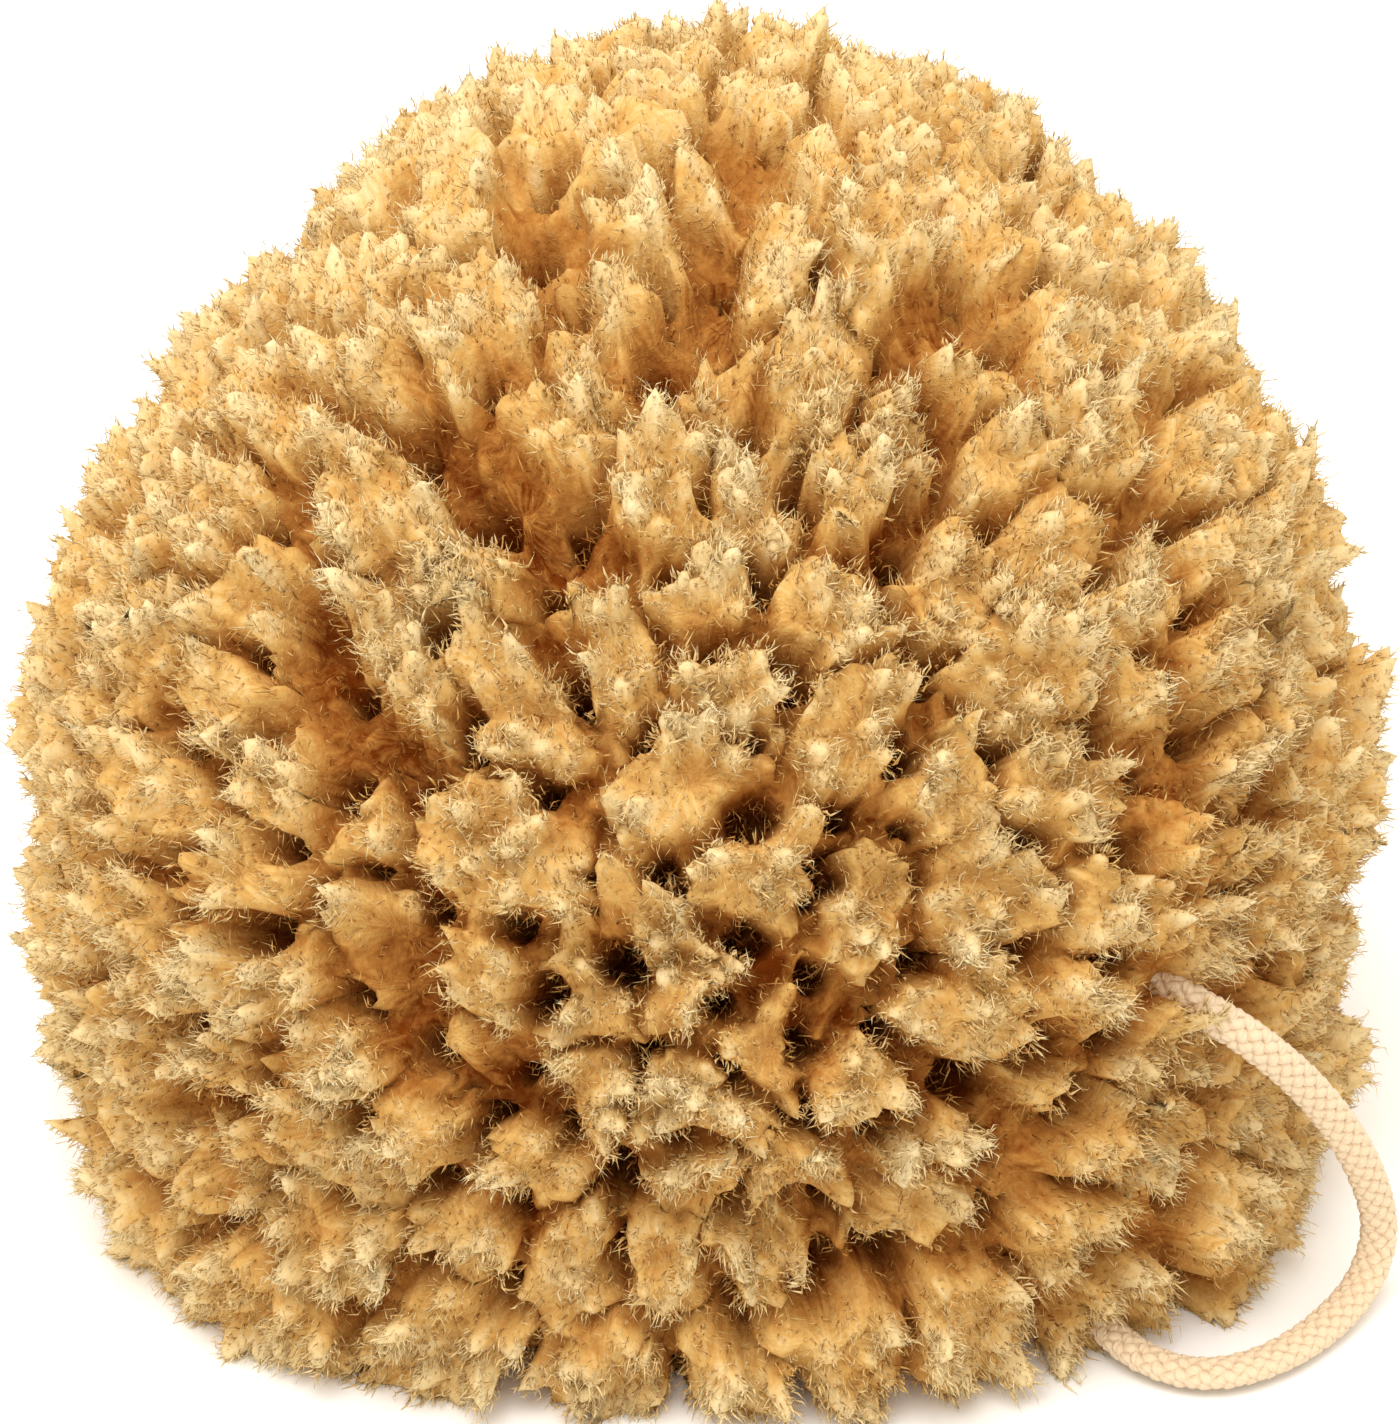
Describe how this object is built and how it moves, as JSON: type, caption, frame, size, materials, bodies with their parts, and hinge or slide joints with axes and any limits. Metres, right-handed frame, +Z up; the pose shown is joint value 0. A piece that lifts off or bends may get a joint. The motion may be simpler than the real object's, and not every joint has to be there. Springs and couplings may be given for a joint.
{
  "type": "sea sponge",
  "caption": "Natural bath sponge: a golden dome of spiky woolly tufts with hollows and canal pits between them, cut flat underneath, with a braided cotton cord loop to hang it by.",
  "frame": {"origin": "middle of the sponge's width and depth, on the flat cut that it stands on", "axes": "+X along the widest side, +Z up from the cut to the crown, -Y the front, where the cord loop is"},
  "size_m": [0.14, 0.132, 0.113],
  "materials": {
    "sponge": "dry, woolly and matte, pale at the tips and brown in the hollows",
    "cord": "undyed braided cotton, matte"
  },
  "bodies": {
    "root": {"sponge": "sponge", "cord_loop": "cord"}
  },
  "joints": []
}
